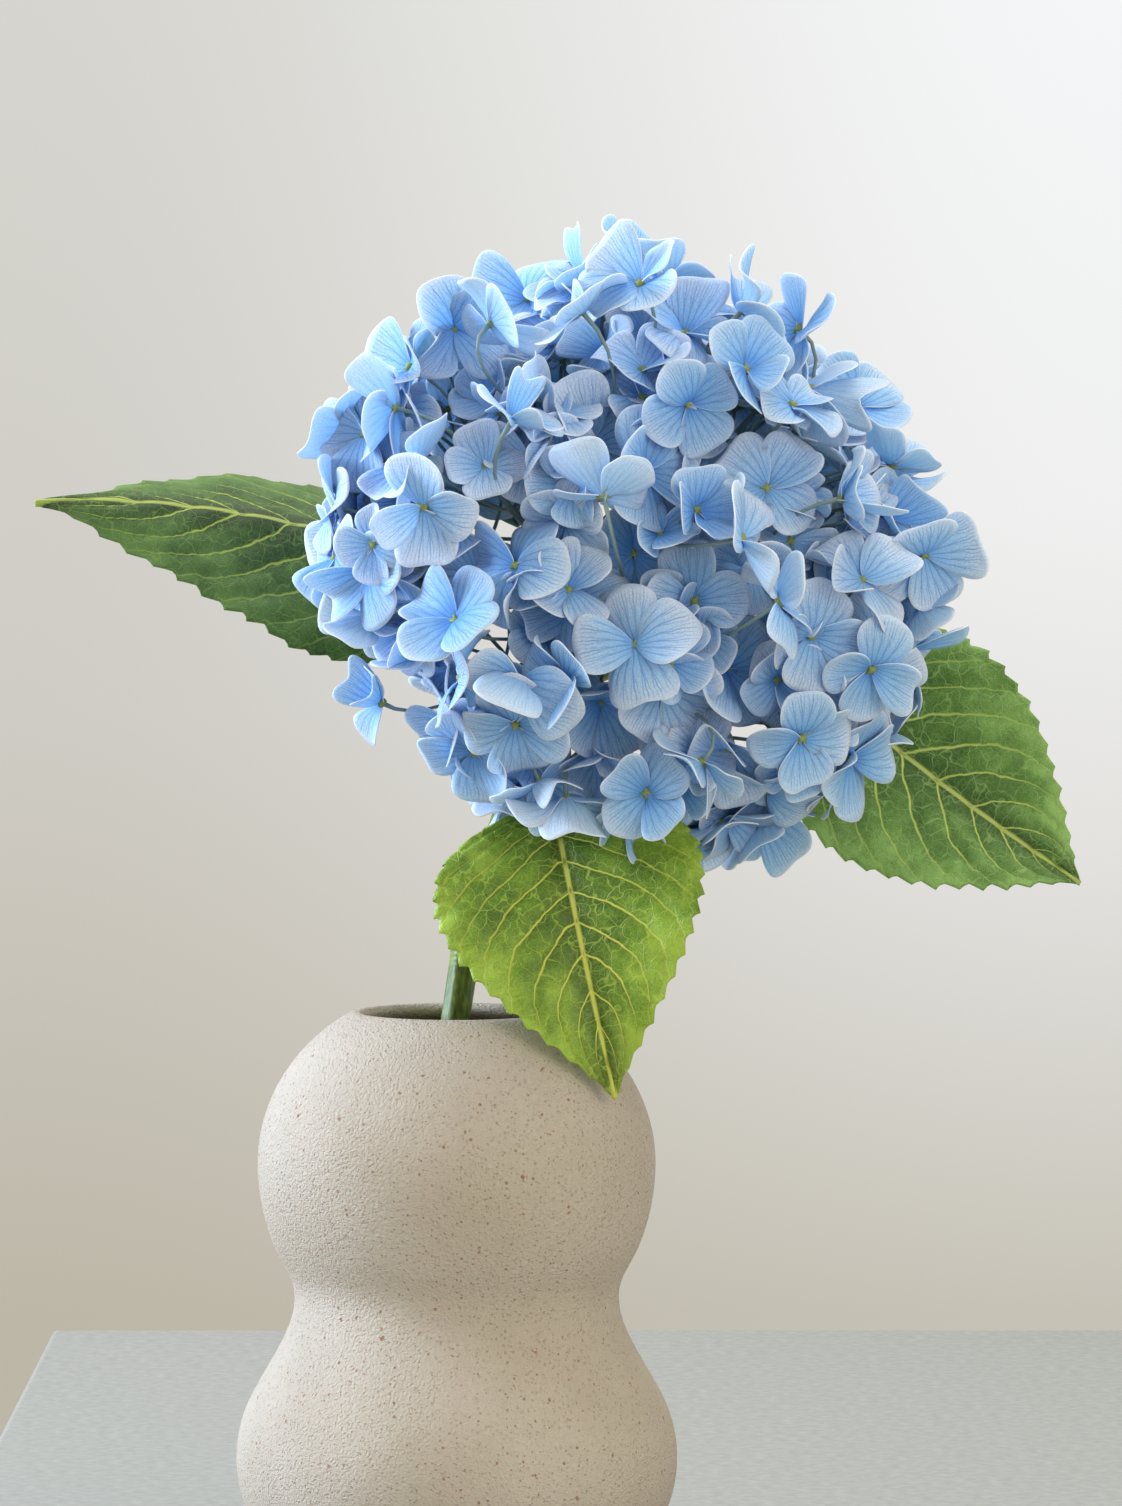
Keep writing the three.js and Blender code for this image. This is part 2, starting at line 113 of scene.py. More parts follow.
world = bpy.data.worlds.new("pale_room")
bpy.context.scene.world = world
world.use_nodes = True
tree = world.node_tree
tree.nodes.clear()
# The wall that the camera sees is painted light and shade: darker low down and on the left, lighter higher
# up and on the right.
way = add(tree, "SeparateXYZ", {"Vector": add(tree, "TexCoord").outputs["Generated"]})
height = add(tree, "MapRange", {"Value": way.outputs["Z"], "From Min": -0.125, "From Max": 0.045})
sides = [
    add(tree, "ValToRGB", {"Fac": height.outputs[0]}, stops=stops).outputs["Color"]
    for stops in ([(0.0, "#bdb7a7"), (1.0, "#d6d5cf"), (0.45, "#cfccc5")],
                  [(0.0, "#c6c2b6"), (1.0, "#f5f6f7"), (0.35, "#e3e2df"), (0.6, "#f0f0f0")])
]
rightward = add(tree, "MapRange", {"Value": way.outputs["X"], "From Min": -0.072, "From Max": 0.072},
                interpolation_type="SMOOTHSTEP")
wall = add(tree, "Mix", {0: rightward.outputs[0], 6: sides[0], 7: sides[1]}, data_type="RGBA")
painted_wall_light = add(tree, "Background", {"Color": wall.outputs[2], "Strength": 1.0})
glow = add(tree, "Background", {"Color": linear("#eeeae1"), "Strength": 0.70})
camera_ray = add(tree, "LightPath").outputs["Is Camera Ray"]
both = add(tree, "MixShader", {0: camera_ray, 1: glow.outputs[0], 2: painted_wall_light.outputs[0]})
add(tree, "OutputWorld", {"Surface": both.outputs[0]})


def add_light(name, place, target, size, watts, colour):
    """A square soft light at a place, turned to a target."""
    lamp = bpy.data.lights.new(name, "AREA")
    lamp.shape = "SQUARE"
    lamp.size = size
    lamp.energy = watts
    lamp.color = linear(colour)[:3]
    holder = bpy.data.objects.new(name, lamp)
    bpy.context.scene.collection.objects.link(holder)
    holder.location = place
    holder.rotation_euler = (Vector(target) - Vector(place)).to_track_quat("-Z", "Y").to_euler()


add_light("window", (-1.5, 0.22, 0.80), (0.0, 0.0, 0.22), 0.9, 50, "#d0e1ff")
add_light("ceiling", (0.3, 0.2, 1.7), (0.03, 0.0, 0.25), 1.2, 14, "#ffffff")
add_light("reflector", (1.0, -1.6, 0.7), (0.03, 0.0, 0.2), 1.2, 14, "#fff6ec")

LENS_MM = 186.2
camera = bpy.data.objects.new("camera", bpy.data.cameras.new("camera"))
bpy.context.scene.collection.objects.link(camera)
camera.data.lens = LENS_MM
camera.data.sensor_width = 36
camera.data.clip_start = 0.05
camera.location = (0.030, -2.230, 0.362)
aim = Vector((0.030, 0.0, 0.242))
camera.rotation_euler = (aim - camera.location).to_track_quat("-Z", "Y").to_euler()
bpy.context.scene.camera = camera
bpy.context.scene.view_settings.view_transform = "Standard"

# ---- Vase ---------------------------------------------------------------------------------------
# One thrown and burnished-off stoneware shell: two bulbs, one on the other, and a small open mouth
# with a soft lip. The matt glaze has a fine pitted skin, with iron specks that bled through it.

VASE = {
    "height": 0.168, "wall": 0.0045, "floor": 0.006, "mouth": 0.0262,
    "lower": (0.0635, 0.039, 0.0492), "upper": (0.0572, 0.124, 0.0515, 0.0595),
    "waist": (0.0466, 0.0853),
}


def arc(radius, centre, half, start, end, count):
    """Points of an upright ellipse arc, from one angle to another."""
    angles = [start + (end - start) * i / count for i in range(count + 1)]
    return [(radius * math.cos(a), centre + half * math.sin(a)) for a in angles]


def bend(a, b, c, d, count):
    """Points of a Bezier curve, without its ends."""
    steps = [(i + 1) / (count + 1) for i in range(count)]
    return [
        tuple((1 - t) ** 3 * a[k] + 3 * t * (1 - t) ** 2 * b[k] + 3 * t * t * (1 - t) * c[k] + t ** 3 * d[k]
              for k in (0, 1))
        for t in steps
    ]


def vase_wall(inset, top):
    """The shell's outline from the foot to the mouth, standing in from the outside by inset."""
    radius, low, half = VASE["lower"][0] - inset, VASE["lower"][1], VASE["lower"][2] - inset
    upper, high, above, below = VASE["upper"]
    neck, waist = VASE["waist"][0] - inset, VASE["waist"][1]
    bottom = VASE["floor"] if inset else 0.0
    leaves, meets = math.radians(22), math.radians(-24)
    lower = arc(radius, low, half, math.asin((bottom - low) / half), leaves, 22)
    swell = arc(upper - inset, high, below - inset, meets, 0, 8)
    shoulder = arc(upper - inset, high, above - inset, 0, math.asin((top - high) / (above - inset)), 20)[1:]
    a, d = lower[-1], swell[0]
    hollow = bend(a, (a[0] - 0.0051, a[1] + 0.0097), (neck, waist - 0.009), (neck, waist), 6)
    rise = bend((neck, waist), (neck, waist + 0.006), (d[0] - 0.0024, d[1] - 0.0055), d, 6)
    return lower + hollow + [(neck, waist)] + rise + swell + shoulder


outside = vase_wall(0.0, VASE["height"] - 0.0016)
inside = vase_wall(VASE["wall"], VASE["height"] - 0.0068)
crest = bend(outside[-1], (outside[-1][0] - 0.0030, VASE["height"] + 0.0003),
             (VASE["mouth"] + 0.0010, VASE["height"] + 0.0002), (VASE["mouth"], VASE["height"] - 0.0022), 7)
throat = bend((VASE["mouth"], VASE["height"] - 0.0022), (VASE["mouth"] - 0.0003, VASE["height"] - 0.0040),
              (inside[-1][0] - 0.0022, inside[-1][1] + 0.0014), inside[-1], 4)
foot = [(0.0, 0.0), (outside[0][0] - 0.0022, 0.0), (outside[0][0] - 0.0006, 0.0004)]
profile = foot + outside[1:] + crest + [(VASE["mouth"], VASE["height"] - 0.0022)] + throat
profile += inside[::-1] + [(0.0, VASE["floor"])]


def new_piece(name, points, faces, edges=()):
    """A mesh object from its points and faces, selected alone and active."""
    mesh = bpy.data.meshes.new(name)
    mesh.from_pydata(points, edges, faces)
    made = bpy.data.objects.new(name, mesh)
    bpy.context.scene.collection.objects.link(made)
    deselect()
    made.select_set(True)
    bpy.context.view_layer.objects.active = made
    return made


vase = new_piece("stoneware_vase", [(r, 0.0, z) for r, z in profile], [],
                 [(i, i + 1) for i in range(len(profile) - 1)])
bpy.ops.object.mode_set(mode="EDIT")
bpy.ops.mesh.select_all(action="SELECT")
bpy.ops.mesh.spin(steps=120, angle=math.tau, center=(0, 0, 0), axis=(0, 0, 1))
bpy.ops.mesh.select_all(action="SELECT")
bpy.ops.mesh.remove_doubles(threshold=1e-5)
bpy.ops.mesh.normals_make_consistent(inside=False)
bpy.ops.object.mode_set(mode="OBJECT")
bpy.ops.object.shade_smooth()

stoneware, tree, shader = new_material("matt_speckled_stoneware")
where = add(tree, "TexCoord").outputs["Object"]
cloud = add(tree, "TexNoise", {"Vector": where, "Scale": 22.0, "Detail": 3.0})
body = add(tree, "ValToRGB", {"Fac": cloud.outputs["Fac"]}, stops=[(0.3, "#bbaf9a"), (0.72, "#cabfad")])
coat = body.outputs["Color"]
# Iron specks: about 4 mm apart and up to 1.5 mm across, then finer ones 2.5 mm and 1.2 mm apart.
for spacing, size, ragged, ragged_by, shade in (
    (250.0, 0.12, 1200.0, 0.0012, "#9c7458"),
    (400.0, 0.15, 2000.0, 0.0006, "#a17d63"),
    (850.0, 0.22, 3600.0, 0.0006, "#a98b74"),
):
    shake = add(tree, "TexNoise", {"Vector": where, "Scale": ragged, "Detail": 2.0})
    wobble = add(tree, "VectorMath", {0: shake.outputs["Color"], "Scale": ragged_by}, operation="SCALE")
    spot = add(tree, "VectorMath", {0: where, 1: wobble.outputs[0]}, operation="ADD")
    cell = add(tree, "TexVoronoi", {"Vector": spot.outputs[0], "Scale": spacing, "Randomness": 1.0})
    chance = add(tree, "SeparateColor", {0: cell.outputs["Color"]})
    reach = add(tree, "Math", {0: chance.outputs[0], 1: 2.2}, operation="POWER")
    limit = add(tree, "Math", {0: reach.outputs[0], 1: size * 1.6}, operation="MULTIPLY")
    inner = add(tree, "Math", {0: limit.outputs[0], 1: cell.outputs["Distance"]}, operation="SUBTRACT")
    mask = add(tree, "Math", {0: inner.outputs[0], 1: 14.0}, operation="MULTIPLY", use_clamp=True)
    coat = add(tree, "Mix", {0: mask.outputs[0], 6: coat, 7: linear(shade)}, data_type="RGBA").outputs[2]
tree.links.new(coat, shader.inputs["Base Color"])
shader.inputs["Roughness"].default_value = 0.62
shader.inputs["Specular IOR Level"].default_value = 0.35
# The skin: grains under a millimetre across, with pinholes 1.5 mm apart between them.
peel = add(tree, "TexNoise", {"Vector": where, "Scale": 1150.0, "Detail": 2.0, "Roughness": 0.7})
holes = add(tree, "TexVoronoi", {"Vector": where, "Scale": 680.0})
pit = add(tree, "MapRange", {"Value": holes.outputs["Distance"], "From Min": 0.05, "From Max": 0.30,
                             "To Min": -0.45, "To Max": 0.0})
skin = add(tree, "Math", {0: peel.outputs["Fac"], 1: pit.outputs[0]}, operation="ADD")
relief = add(tree, "Bump", {"Height": skin.outputs[0], "Strength": 1.0, "Distance": 0.0008})
tree.links.new(relief.outputs[0], shader.inputs["Normal"])
vase.data.materials.append(stoneware)
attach(vase, "root")
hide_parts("vase")

# ---- Stem ---------------------------------------------------------------------------------------
# A fresh green stem, cut aslant below the water line, with shallow ribs and a swollen joint wherever
# a pair of leaves grew. At its top it widens into the knob that all the head's branches spring from.

STEM = {
    "radius": 0.0041, "ribs": 6, "sides": 48, "knob": 0.0058, "knob_from": 0.262, "knob_rise": 0.012,
    "joints": (0.184, 0.243, 0.259), "joint_half": 0.0042, "scar_half": 0.0007,
    "route": [(-0.024, -0.012, 0.0079), (-0.011, 0.005, 0.090), (0.0, 0.0202, 0.168),
              (0.003, 0.0232, 0.184), (0.020, 0.030, 0.238), (0.040, 0.034, 0.274)],
}


def smooth_line(points, steps):
    """Points along a smooth (centripetal) line through the given ones, so many from each to the next."""
    points = [Vector(p) for p in points]
    points = [points[0] * 2 - points[1]] + points + [points[-1] * 2 - points[-2]]
    line = []
    for k in range(1, len(points) - 2):
        p = points[k - 1:k + 3]
        s = [0.0]
        for a, b in zip(p, p[1:]):
            s.append(s[-1] + math.sqrt((b - a).length))
        for step in range(steps + (k == len(points) - 3)):
            t = s[1] + (s[2] - s[1]) * step / steps
            one = [p[i].lerp(p[i + 1], (t - s[i]) / (s[i + 1] - s[i])) for i in range(3)]
            two = [one[i].lerp(one[i + 1], (t - s[i]) / (s[i + 2] - s[i])) for i in range(2)]
            line.append(two[0].lerp(two[1], (t - s[1]) / (s[2] - s[1])))
    return line


def sweep(line, radius_at, sides, start=0):
    """A rounded rod along a line, closed at both ends: its points and faces, numbered from start."""
    points, faces = [], []
    turn = (line[1] - line[0]).orthogonal().normalized()
    for i, at in enumerate(line):
        way = (line[min(i + 1, len(line) - 1)] - line[max(i - 1, 0)]).normalized()
        turn = (turn - way * turn.dot(way)).normalized()
        side = way.cross(turn)
        share = i / (len(line) - 1)
        for k in range(sides):
            angle = math.tau * k / sides
            out = turn * math.cos(angle) + side * math.sin(angle)
            points.append(at + out * radius_at(share, angle))
    for i in range(len(line) - 1):
        for k in range(sides):
            a, b = start + i * sides + k, start + i * sides + (k + 1) % sides
            faces.append((a, b, b + sides, a + sides))
    tail = start + len(points)
    points += [line[0], line[-1]]
    last = start + (len(line) - 1) * sides
    for k in range(sides):
        faces.append((tail, start + (k + 1) % sides, start + k))
        faces.append((tail + 1, last + k, last + (k + 1) % sides))
    return points, faces


stem_line = smooth_line(STEM["route"], 44)
stem_heights = [p.z for p in stem_line]


def stem_at(height):
    """The place on the stem's middle line at a height."""
    i = min(range(len(stem_line)), key=lambda k: abs(stem_heights[k] - height))
    return stem_line[i]


def stem_radius(share, angle):
    """The stem's radius: ribbed all round, swollen and ringed at its joints, and widest at the knob."""
    z = stem_line[round(share * (len(stem_line) - 1))].z
    ribs = 1 + 0.035 * math.cos(STEM["ribs"] * angle + 9 * share) + 0.012 * math.sin(17 * angle)
    swollen = 0.0
    for joint in STEM["joints"]:
        near = math.exp(-((z - joint) / STEM["joint_half"]) ** 2)
        ring = math.exp(-((z - joint - 0.001) / STEM["scar_half"]) ** 2)
        wrinkles = 0.03 * math.sin((z - joint) * 4200 + 2 * math.sin(angle)) * near
        swollen += 0.15 * near - 0.09 * ring + wrinkles
    top = max(0.0, (z - STEM["knob_from"]) / STEM["knob_rise"])
    knob = (STEM["knob"] / STEM["radius"] - 1) * min(1.0, top) ** 2
    return STEM["radius"] * (ribs + swollen + knob) * (0.9 if share == 0 else 0.99)


points, faces = sweep(stem_line, stem_radius, STEM["sides"])
stem = new_piece("flower_stem", points, faces)
deselect()
bpy.ops.mesh.primitive_uv_sphere_add(segments=32, ring_count=16, radius=STEM["knob"], location=stem_line[-1])
knob_ball = bpy.context.object
bpy.ops.object.transform_apply(location=True)
stem.select_set(True)
bpy.context.view_layer.objects.active = stem
bpy.ops.object.join()
bpy.ops.object.shade_smooth()

bark, tree, shader = new_material("green_stem_skin")
where = add(tree, "TexCoord").outputs["Object"]
squeezed = add(tree, "Mapping", {"Vector": where, "Scale": (1.0, 1.0, 0.12)})
streak = add(tree, "TexNoise", {"Vector": squeezed.outputs[0], "Scale": 1500.0, "Detail": 3.0})
patch = add(tree, "TexNoise", {"Vector": where, "Scale": 170.0, "Detail": 2.0})
tone = add(tree, "Math", {0: streak.outputs["Fac"], 1: 0.5, 2: 0.0}, operation="MULTIPLY_ADD")
tone = add(tree, "Math", {0: patch.outputs["Fac"], 1: 0.5, 2: tone.outputs[0]}, operation="MULTIPLY_ADD")
skin = add(tree, "ValToRGB", {"Fac": tone.outputs[0]},
           stops=[(0.36, "#405616"), (0.66, "#8a9e3e"), (0.5, "#607820")])
tree.links.new(skin.outputs["Color"], shader.inputs["Base Color"])
shader.inputs["Roughness"].default_value = 0.46
relief = add(tree, "Bump", {"Height": streak.outputs["Fac"], "Strength": 0.35, "Distance": 0.0003})
tree.links.new(relief.outputs[0], shader.inputs["Normal"])
stem.data.materials.append(bark)
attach(stem, "root")
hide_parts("stem")

# ---- Leaves -------------------------------------------------------------------------------------
# Three broad, pointed leaves with saw teeth, each on a short stalk from one of the stem's joints. The
# blade is quilted: the veins lie sunk in it, paler than the green cushions that swell between them.

BLADE = {"thick": 0.0007, "teeth": 17, "rows_per_tooth": 6, "columns": 36, "tooth": 0.0017,
         "stalk": 0.0019, "widest": 0.62 / 1.87}
# Each leaf's colours are painted for the light that falls on it. The left leaf's greens and veins are
# painted in shade, darker. The front leaf's are painted lit, brighter and yellower. The shade colour is the
# painted shade laid beside the veins.
LEAVES = [
    {"name": "left_leaf", "node": "leaf_left", "joint": 0.259, "half": 0.038, "fold": -26,
     "midrib": [(0.008, 0.064, 0.288), (-0.054, 0.064, 0.315), (-0.124, 0.042, 0.314)],
     "bow": (0.022, 0.054, 0.268), "faces": (0.0, -0.67, 0.74),
     "greens": ("#2b4419", "#466629", "#648643"), "veins": "#b3c45a", "net": "#7d9d50",
     "shade": "#213414"},
    {"name": "right_leaf", "node": "leaf_right", "joint": 0.259, "half": 0.038, "fold": 12,
     "midrib": [(0.096, 0.046, 0.267), (0.150, 0.036, 0.222), (0.181, 0.024, 0.203)],
     "bow": (0.064, 0.046, 0.270), "faces": (0.08, -0.96, 0.26),
     "greens": ("#3c5f20", "#587f33", "#86ad58"), "veins": "#bdce6a", "net": "#94b466",
     "shade": "#2f4c1a"},
    {"name": "front_leaf", "node": "leaf_front", "joint": 0.243, "half": 0.039, "fold": 10,
     "midrib": [(0.028, -0.014, 0.227), (0.034, -0.038, 0.197), (0.0455, -0.038, 0.1455)],
     "bow": (0.022, 0.006, 0.228), "faces": (-0.1, -0.92, 0.38),
     "greens": ("#446516", "#6c8e24", "#a0be42"), "veins": "#d6dc62", "net": "#b4cc52",
     "shade": "#3c5418"},
]


def leaf_frame(leaf, t):
    """The midrib's point, and the ways along, across and up from the blade, at a share of its length."""
    a, b, c = (Vector(p) for p in leaf["midrib"])
    at = a * (1 - t) ** 2 + b * 2 * t * (1 - t) + c * t * t
    way = ((b - a) * (1 - t) + (c - b) * t).normalized()
    side = way.cross(Vector(leaf["faces"])).normalized()
    return at, way, side, side.cross(way)


def leaf_width(leaf, t):
    """The blade's half width at a share of its length."""
    widest = BLADE["widest"]
    return leaf["half"] * (t / widest) ** 0.62 * max(0.0, (1 - t) / (1 - widest)) ** 1.25


def vein_depth(t, s):
    """How deep the veins lie at a place on the blade: 1 in the middle of one, and 0 between them."""
    lag = t - 0.28 * abs(s) - 0.10 * s * s
    off = abs((lag * 9 + 0.5) % 1 - 0.5) / 9
    return math.exp(-(off / 0.018) ** 2)


def make_blade(leaf):
    """The blade's sheet: points, faces, and each point's share along, share across and real place."""
    chance = random.Random(leaf["name"])
    rows = BLADE["teeth"] * BLADE["rows_per_tooth"]
    columns = BLADE["columns"]
    sizes = [[0.65 + 0.6 * chance.random() for _ in range(BLADE["teeth"] + 1)] for _ in (0, 1)]
    ripple = [chance.uniform(0, math.tau) for _ in range(4)]
    fold = math.radians(leaf["fold"])
    length = sum((Vector(leaf["midrib"][i + 1]) - Vector(leaf["midrib"][i])).length for i in (0, 1)) * 0.97
    points, shares = [], []
    for row in range(rows + 1):
        t = 0.012 + 0.982 * row / rows
        at, way, side, up = leaf_frame(leaf, t)
        width = leaf_width(leaf, t)
        phase = (row / BLADE["rows_per_tooth"]) % 1
        crest = phase / 0.667 if phase < 0.667 else (1 - phase) / 0.333
        for column in range(columns + 1):
            s = 2 * column / columns - 1
            s = math.sin(s * math.pi / 2) * 0.45 + s * 0.55
            tooth = sizes[s > 0][int(row / BLADE["rows_per_tooth"])] * BLADE["tooth"]
            tooth *= min(1.0, width / 0.012) * (crest - 0.45)
            reach = max(width + tooth * abs(s) ** 3, 0.0005)
            cushion = (1 - vein_depth(t, s)) * min(1.0, width * (1 - abs(s)) / 0.006)
            groove = math.exp(-(s * width / 0.0016) ** 2)
            wave = 0.0016 * s * s * math.sin(9 * t + ripple[s > 0]) + 0.0007 * abs(s) ** 3 * math.sin(
                31 * t + ripple[2 + (s > 0)])
            lift = 0.0009 * cushion - 0.0009 * groove + wave
            spot = (at + side * (s * reach * math.cos(fold)) + up * (abs(s) * reach * math.sin(fold) + lift)
                    + way * (max(tooth, 0.0) * abs(s) ** 3 * 0.9))
            points.append(spot)
            shares.append((t, s, s * reach, t * length))
    faces = []
    for row in range(rows):
        for column in range(columns):
            a = row * (columns + 1) + column
            faces.append((a, a + 1, a + columns + 2, a + columns + 1))
    return points, faces, shares


def set_values(mesh, name, kind, values):
    """Stores one value, or one vector, with each of a mesh's points."""
    layer = mesh.attributes.new(name, kind, "POINT")
    layer.data.foreach_set("vector" if kind == "FLOAT_VECTOR" else "value", np.array(values, "f").ravel())


def leaf_material(leaf):
    """A blade's skin: a pale rib and veins with painted shade along their sides, a fine net between them,
    and grainy greens.
    """
    made, tree, shader = new_material(leaf["name"] + "_blade")
    dark, mid, light = leaf["greens"]
    spot = add(tree, "Attribute", attribute_name="blade").outputs["Vector"]
    blade = add(tree, "SeparateXYZ", {"Vector": spot})
    flat = add(tree, "Attribute", attribute_name="flat").outputs["Vector"]
    off_rib = add(tree, "Math", {0: add(tree, "SeparateXYZ", {"Vector": flat}).outputs["X"]},
                  operation="ABSOLUTE").outputs[0]
    out = add(tree, "Math", {0: blade.outputs["Y"]}, operation="ABSOLUTE").outputs[0]

    def ease(value, start, end, low=0.0, high=1.0):
        """Maps a value from start..end to low..high, and holds it there."""
        return add(tree, "MapRange", {"Value": value, "From Min": start, "From Max": end, "To Min": low,
                                      "To Max": high}).outputs[0]

    def blend(factor, under, over):
        """Lays one colour over another."""
        return add(tree, "Mix", {0: factor, 6: under, 7: over}, data_type="RGBA").outputs[2]

    def combine(kind, first, second, third=0.0):
        """One Math node's result from two or three values."""
        return add(tree, "Math", {0: first, 1: second, 2: third}, operation=kind).outputs[0]

    bent = add(tree, "TexNoise", {"Vector": flat, "Scale": 70.0, "Detail": 3.0})
    lag = combine("MULTIPLY", out, combine("MULTIPLY_ADD", out, 0.10, 0.28))
    lag = combine("SUBTRACT", blade.outputs["X"], lag)
    lag = combine("MULTIPLY_ADD", bent.outputs["Fac"], 0.07, lag)
    beat = combine("MULTIPLY_ADD", lag, 9.0, 9.68)
    off = combine("PINGPONG", beat, 0.5)
    vein = combine("MULTIPLY", ease(off, 0.06, 0.02), ease(out, 0.3, 0.95, 1.0, 0.25))
    rib = combine("MULTIPLY", ease(off_rib, 0.0010, 0.0004), ease(blade.outputs["X"], 0.0, 1.0, 1.0, 0.8))
    warp = add(tree, "TexNoise", {"Vector": flat, "Scale": 260.0, "Detail": 1.0})
    bend_by = add(tree, "VectorMath", {0: warp.outputs["Color"], "Scale": 0.004}, operation="SCALE")
    crooked = add(tree, "VectorMath", {0: flat, 1: bend_by.outputs[0]}, operation="ADD").outputs[0]
    nets = []
    for scale, edge in ((185.0, 0.045), (640.0, 0.10)):
        cell = add(tree, "TexVoronoi", {"Vector": crooked, "Scale": scale}, feature="DISTANCE_TO_EDGE")
        nets.append(ease(cell.outputs["Distance"], edge, 0.0))
    patches = add(tree, "TexNoise", {"Vector": flat, "Scale": 48.0, "Detail": 4.0, "Roughness": 0.65})
    grain = add(tree, "TexNoise", {"Vector": flat, "Scale": 2300.0, "Detail": 2.0})
    tone = combine("MULTIPLY_ADD", out, 0.16, patches.outputs["Fac"])
    tone = combine("ADD", tone, ease(blade.outputs["X"], 0.55, 1.0, -0.02, 0.14))
    tone = combine("MULTIPLY_ADD", grain.outputs["Fac"], 0.34, combine("ADD", tone, -0.22))
    green = add(tree, "ValToRGB", {"Fac": tone}, stops=[(0.34, dark), (0.68, light), (0.5, mid)])
    # Painted shade: dark patches along both sides of the midrib, and a dark band on one side of each side
    # vein that fades out towards the margin. Both are laid over the greens in the leaf's shade colour.
    painted_vein_shade = combine("MULTIPLY", ease(off_rib, 0.009, 0.001, 0.0, 0.9),
                    ease(patches.outputs["Fac"], 0.34, 0.52))
    painted_lee_shade = combine("MULTIPLY", ease(combine("FRACT", beat, 0.0), 0.42, 0.02), ease(out, 0.6, 0.0))
    painted_vein_shade = combine("MAXIMUM", painted_vein_shade, combine("MULTIPLY", painted_lee_shade, 0.9))
    green = blend(painted_vein_shade, green.outputs["Color"], linear(leaf["shade"]))
    net = combine("MAXIMUM", nets[0], combine("MULTIPLY", nets[1], 0.35))
    green = blend(combine("MULTIPLY", net, 0.62), green, linear(leaf["net"]))
    green = blend(combine("MULTIPLY", vein, 0.95), green, linear(leaf["veins"]))
    green = blend(rib, green, linear(leaf["veins"]))
    tree.links.new(green, shader.inputs["Base Color"])
    shader.inputs["Roughness"].default_value = 0.5
    shader.inputs["Specular IOR Level"].default_value = 0.35
    shader.inputs["Subsurface Weight"].default_value = 0.15
    shader.inputs["Subsurface Radius"].default_value = (0.5, 1.0, 0.2)
    shader.inputs["Subsurface Scale"].default_value = 0.002
    height = combine("MAXIMUM", combine("MULTIPLY", net, 0.4), combine("MAXIMUM", vein, rib))
    relief = add(tree, "Bump", {"Height": height, "Strength": 0.6, "Distance": 0.0006}, invert=True)
    tree.links.new(relief.outputs[0], shader.inputs["Normal"])
    return made


def finish_piece(piece, node):
    """Places a finished piece in the frame: its body and the solid that it stands for."""
    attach(piece, "root")
    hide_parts(node)


def select_only(*things):
    """Selects some objects and nothing else, with the first of them active."""
    deselect()
    for thing in things:
        thing.select_set(True)
    bpy.context.view_layer.objects.active = things[0]


for leaf in LEAVES:
    points, faces, shares = make_blade(leaf)
    blade = new_piece(leaf["name"], points, faces)
    set_values(blade.data, "blade", "FLOAT_VECTOR", [(t, s, 0.0) for t, s, _, _ in shares])
    set_values(blade.data, "flat", "FLOAT_VECTOR", [(x, y, 0.0) for _, _, x, y in shares])
    sheet = blade.modifiers.new("thickness", "SOLIDIFY")
    sheet.thickness = BLADE["thick"]
    sheet.offset = 0
    bpy.ops.object.modifier_apply(modifier=sheet.name)
    bpy.ops.object.mode_set(mode="EDIT")
    bpy.ops.mesh.select_all(action="SELECT")
    bpy.ops.mesh.normals_make_consistent(inside=False)
    bpy.ops.object.mode_set(mode="OBJECT")
    blade.data.materials.append(leaf_material(leaf))
    joint, bow = stem_at(leaf["joint"]), Vector(leaf["bow"])
    route = [joint + (bow - joint).normalized() * 0.002, bow]
    for t in (0.02, 0.2, 0.4, 0.6, 0.8, 0.95):
        at, way, side, up = leaf_frame(leaf, t)
        route.append(at - up * (0.0016 - 0.0006 * t))
    line = smooth_line(route, 9)
    points, faces = sweep(line, lambda share, angle: BLADE["stalk"] * (1.15 - share) ** 1.3 + 0.0002, 12)
    stalk = new_piece(leaf["name"] + "_stalk", points, faces)
    stalk_skin, tree, shader = new_material(leaf["name"] + "_rib")
    shader.inputs["Base Color"].default_value = linear("#8fa548")
    shader.inputs["Roughness"].default_value = 0.45
    stalk.data.materials.append(stalk_skin)
    select_only(blade, stalk)
    bpy.ops.object.join()
    bpy.ops.object.shade_smooth()
    finish_piece(blade, leaf["node"])

# ---- Branches -----------------------------------------------------------------------------------
# Nine green branches spring from the knob and fork, one twig to a sprig. Their forks follow from the
# sprigs that they bear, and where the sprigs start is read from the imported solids.

KNOB = Vector(STEM["route"][-1])
FLORET = {"eye": 0.0017, "rim_sides": 16, "rim_clear": 0.0035, "apart": 0.004, "per_sprig": (3, 4)}
STALK = {"base": 0.0015, "twig": 0.00105, "fork_at": 0.34, "sprig_fork_at": 0.58, "end_gap": 0.00185}


def quarters(at, faces, first, rim):
    """The rim's point first, and the three that stand nearest to a quarter, half and three quarters on."""
    across = first - at - faces * (first - at).dot(faces)
    ways = [across.normalized()]
    for _ in range(3):
        ways.append(faces.cross(ways[-1]))
    return [max(rim, key=lambda p: (p - at).normalized().dot(way)) for way in ways]


